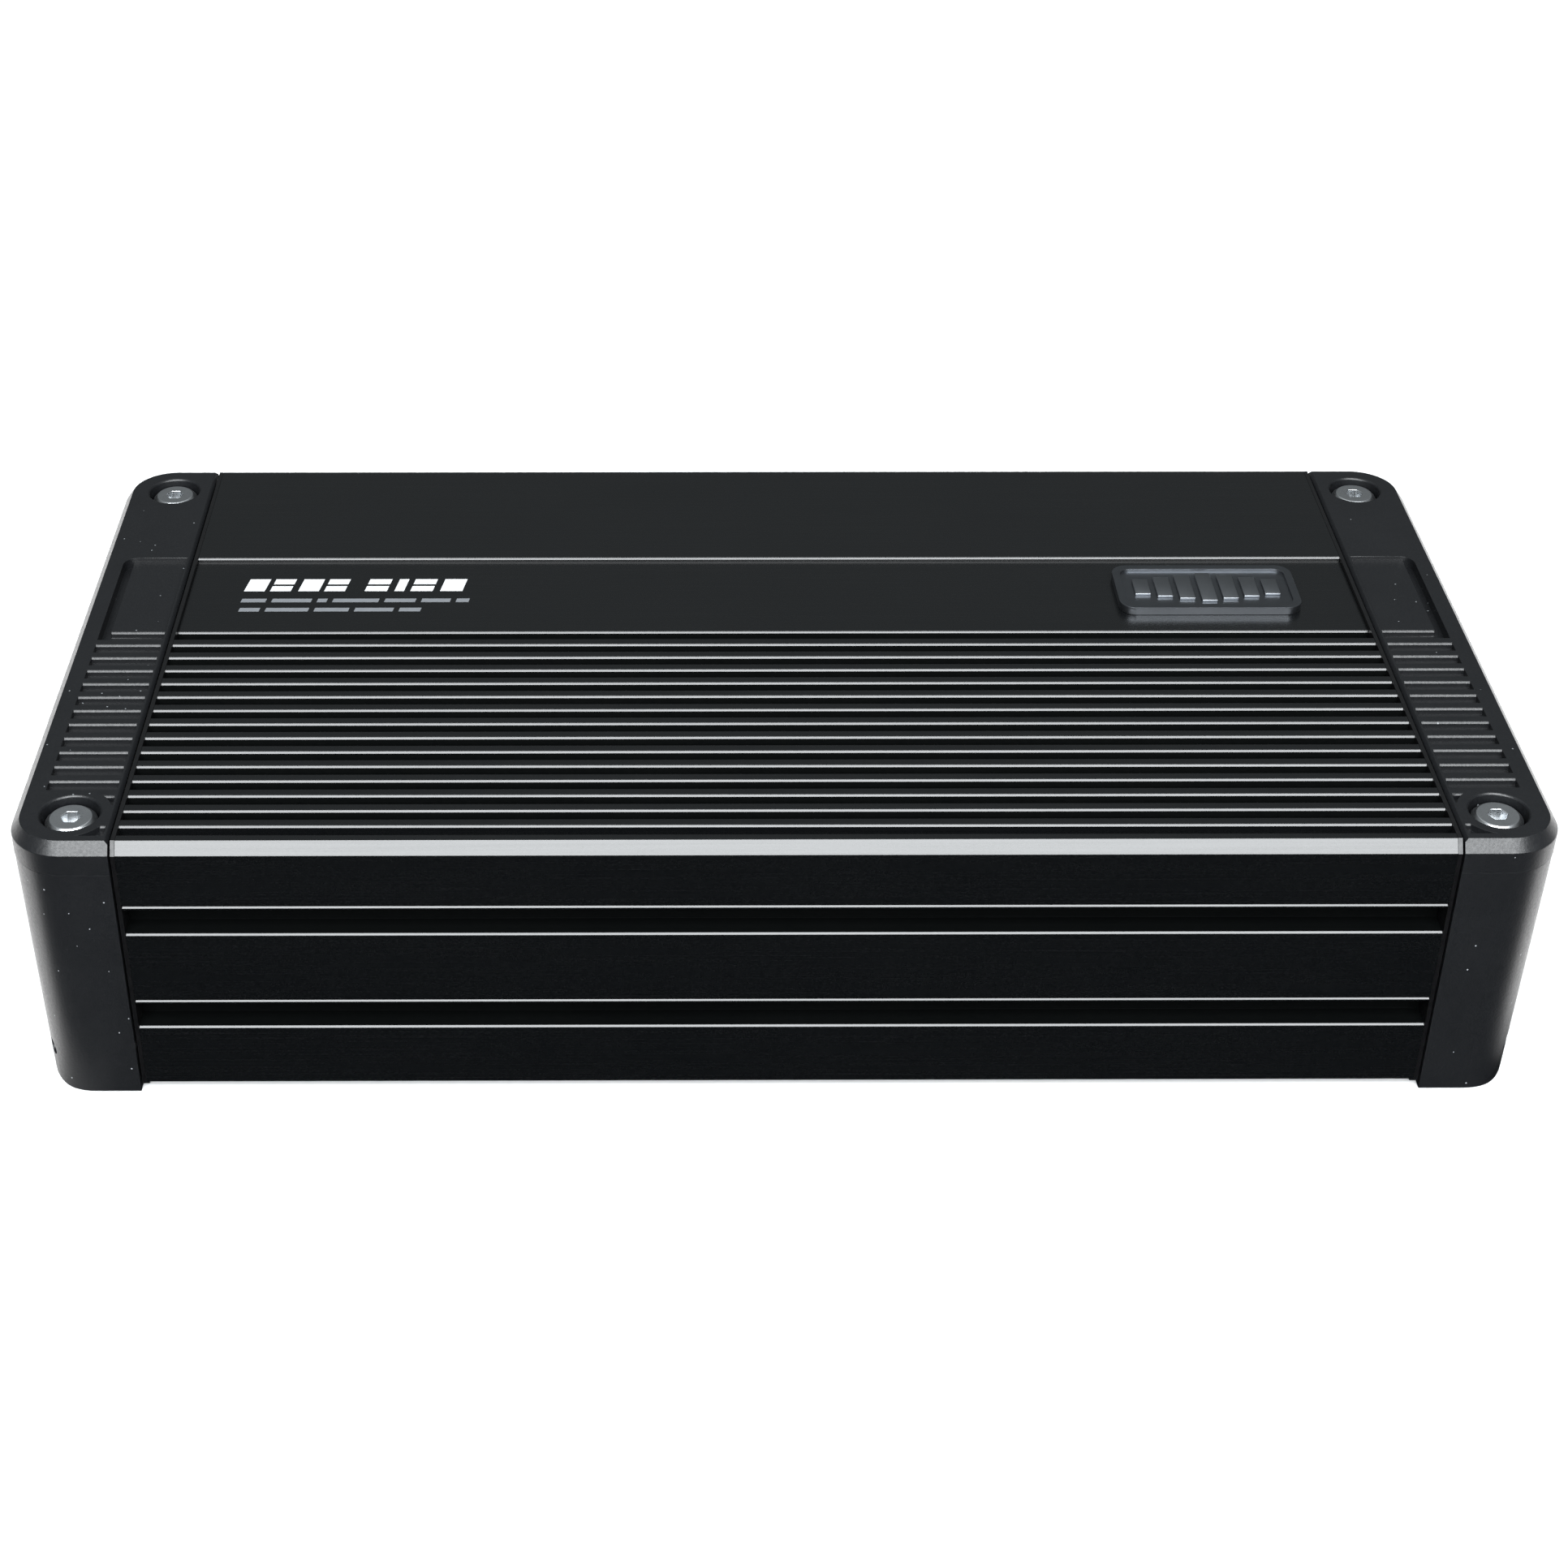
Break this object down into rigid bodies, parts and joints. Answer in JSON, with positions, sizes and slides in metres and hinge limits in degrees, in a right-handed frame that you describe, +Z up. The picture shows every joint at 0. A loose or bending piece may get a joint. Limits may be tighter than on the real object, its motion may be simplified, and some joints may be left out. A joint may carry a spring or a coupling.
{
  "type": "car audio amplifier",
  "caption": "Flat black car audio amplifier: ribbed heat-sink extrusion between two rounded end caps with bolted lids, connectors and controls in the cap bays.",
  "frame": {"origin": "middle of the footprint in X and Y, on the plane the feet stand on", "axes": "+X along the length from the signal end to the power end, +Y from the front face to the rear face, +Z up"},
  "size_m": [0.256, 0.132, 0.0528],
  "materials": {
    "anodised_body": "black anodised, satin",
    "painted_steel": "black powder coat",
    "cap_coating": "fine textured black coating",
    "bolt_steel": "zinc plated, satin",
    "screw_steel": "zinc plated",
    "black_screws": "black oxide",
    "badge_metal": "gloss gunmetal",
    "board": "green solder mask",
    "black_plastic": "moulded, fine matt",
    "brass": "turned",
    "ferrite": "sintered, matt",
    "copper_wire": "enamelled copper, gloss",
    "iron_powder": "yellow epoxy coat",
    "capacitor_sleeve": "shrink sleeve",
    "silicone_pad": "soft, matt",
    "gold_plate": "gold plated, polished",
    "control_metal": "nickel plated",
    "knob_plastic": "moulded, fine matt",
    "blue_lens": "clear tinted lens",
    "red_lens": "clear tinted lens",
    "plated_brass": "nickel plated",
    "fuse_plastic": "translucent green"
  },
  "bodies": {
    "amplifier": {"heatsink_body": "anodised_body", "bottom_plate": "painted_steel", "bottom_plate_screws": "black_screws", "left_end_plate": "painted_steel", "right_end_plate": "painted_steel", "end_screws": "screw_steel", "left_cap_base": "cap_coating", "right_cap_base": "cap_coating", "left_cap_cover": "cap_coating", "right_cap_cover": "cap_coating", "cover_bolts": "bolt_steel", "badge": "badge_metal", "main_board": "board", "board_standoffs": "brass", "board_screws": "screw_steel", "control_board": "board", "board_header": "black_plastic", "transformer_core": "ferrite", "transformer_winding": "copper_wire", "inductor_cores": "iron_powder", "inductor_windings": "copper_wire", "storage_capacitors": "capacitor_sleeve", "filter_capacitors": "capacitor_sleeve", "power_transistors": "black_plastic", "output_transistors": "black_plastic", "thermal_pads": "silicone_pad", "front_clamp_bar": "screw_steel", "rear_clamp_bar": "screw_steel", "clamp_screws": "screw_steel", "input_jack_housing": "black_plastic", "input_jack_contacts": "gold_plate", "control_pots": "control_metal", "pot_nuts": "control_metal", "switch_housings": "control_metal", "remote_port": "black_plastic", "remote_port_contacts": "gold_plate", "power_light": "blue_lens", "protect_light": "red_lens", "power_terminal_block": "black_plastic", "power_terminal_clamps": "plated_brass", "power_terminal_screws": "plated_brass", "speaker_terminal_block": "black_plastic", "speaker_terminal_clamps": "plated_brass", "speaker_terminal_screws": "plated_brass", "fuse_holder": "black_plastic", "fuse_clips": "plated_brass", "fuses": "fuse_plastic", "fuse_blades": "plated_brass"},
    "front_gain": {"front_gain_knob": "knob_plastic", "front_gain_shaft": "control_metal"},
    "rear_gain": {"rear_gain_knob": "knob_plastic", "rear_gain_shaft": "control_metal"},
    "crossover": {"crossover_knob": "knob_plastic", "crossover_shaft": "control_metal"},
    "filter_switch": {"filter_slider": "knob_plastic"},
    "input_mode_switch": {"input_mode_slider": "knob_plastic"}
  },
  "joints": [
    {"name": "front_gain_turn", "type": "hinge", "parent": "amplifier", "child": "front_gain", "pos_m": [-0.117, 0.001, 0.0336], "axis": [-1, 0, 0], "range_deg": [-140, 140]},
    {"name": "rear_gain_turn", "type": "hinge", "parent": "amplifier", "child": "rear_gain", "pos_m": [-0.117, 0.0135, 0.0336], "axis": [-1, 0, 0], "range_deg": [-140, 140]},
    {"name": "crossover_turn", "type": "hinge", "parent": "amplifier", "child": "crossover", "pos_m": [-0.117, 0.026, 0.0336], "axis": [-1, 0, 0], "range_deg": [-140, 140]},
    {"name": "filter_slide", "type": "slide", "parent": "amplifier", "child": "filter_switch", "axis": [0, 1, 0], "range_m": [0, 0.0024]},
    {"name": "input_mode_slide", "type": "slide", "parent": "amplifier", "child": "input_mode_switch", "axis": [0, 1, 0], "range_m": [0, 0.0024]}
  ]
}
